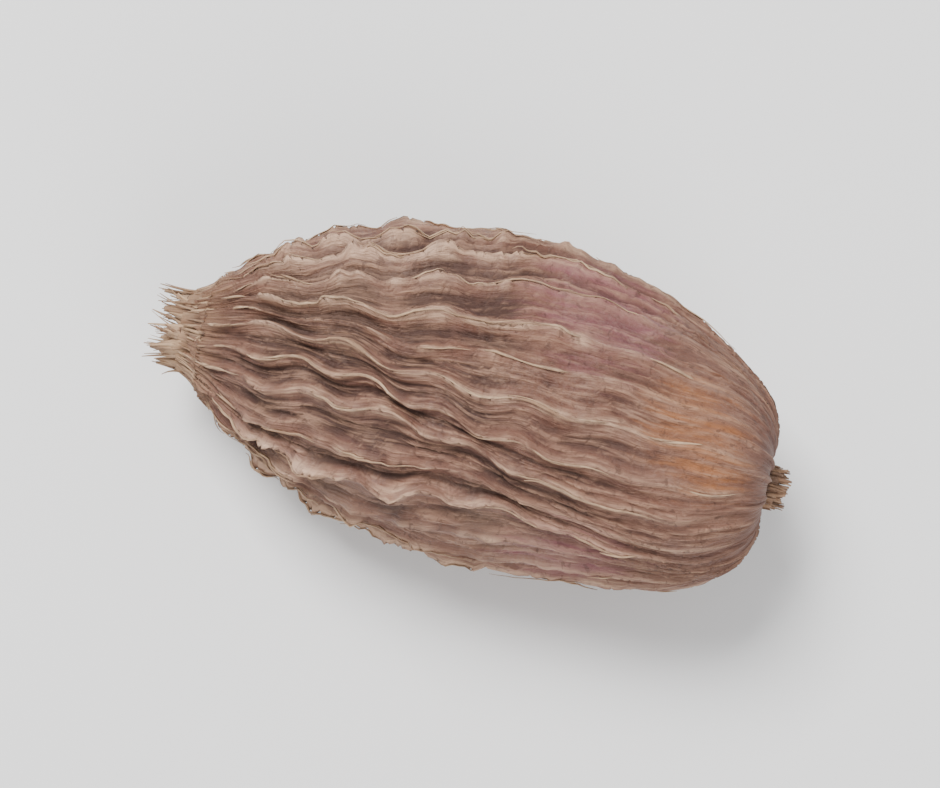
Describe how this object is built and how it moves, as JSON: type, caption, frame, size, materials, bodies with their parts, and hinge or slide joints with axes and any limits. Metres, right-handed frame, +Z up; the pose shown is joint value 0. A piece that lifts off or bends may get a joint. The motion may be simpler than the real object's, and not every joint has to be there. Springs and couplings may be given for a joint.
{
  "type": "black cardamom pod",
  "caption": "Dried black cardamom pod lying on its side: an egg-shaped, leathery husk with wavy raised ribs, a torn calyx on the narrow end and a stalk stub on the broad end.",
  "frame": {"origin": "on the surface that the pod lies on, below the middle of its bounding box", "axes": "+Z up from that surface, +X along the pod from the calyx to the stalk"},
  "size_m": [0.028, 0.014, 0.0123],
  "materials": {
    "husk": "dull, dry and leathery, reddish brown with paler rib crests",
    "calyx": "matt dry fibre, straw brown",
    "stalk": "matt dry fibre, brown"
  },
  "bodies": {
    "root": {"husk": "husk", "calyx": "calyx", "stalk": "stalk"}
  },
  "joints": []
}
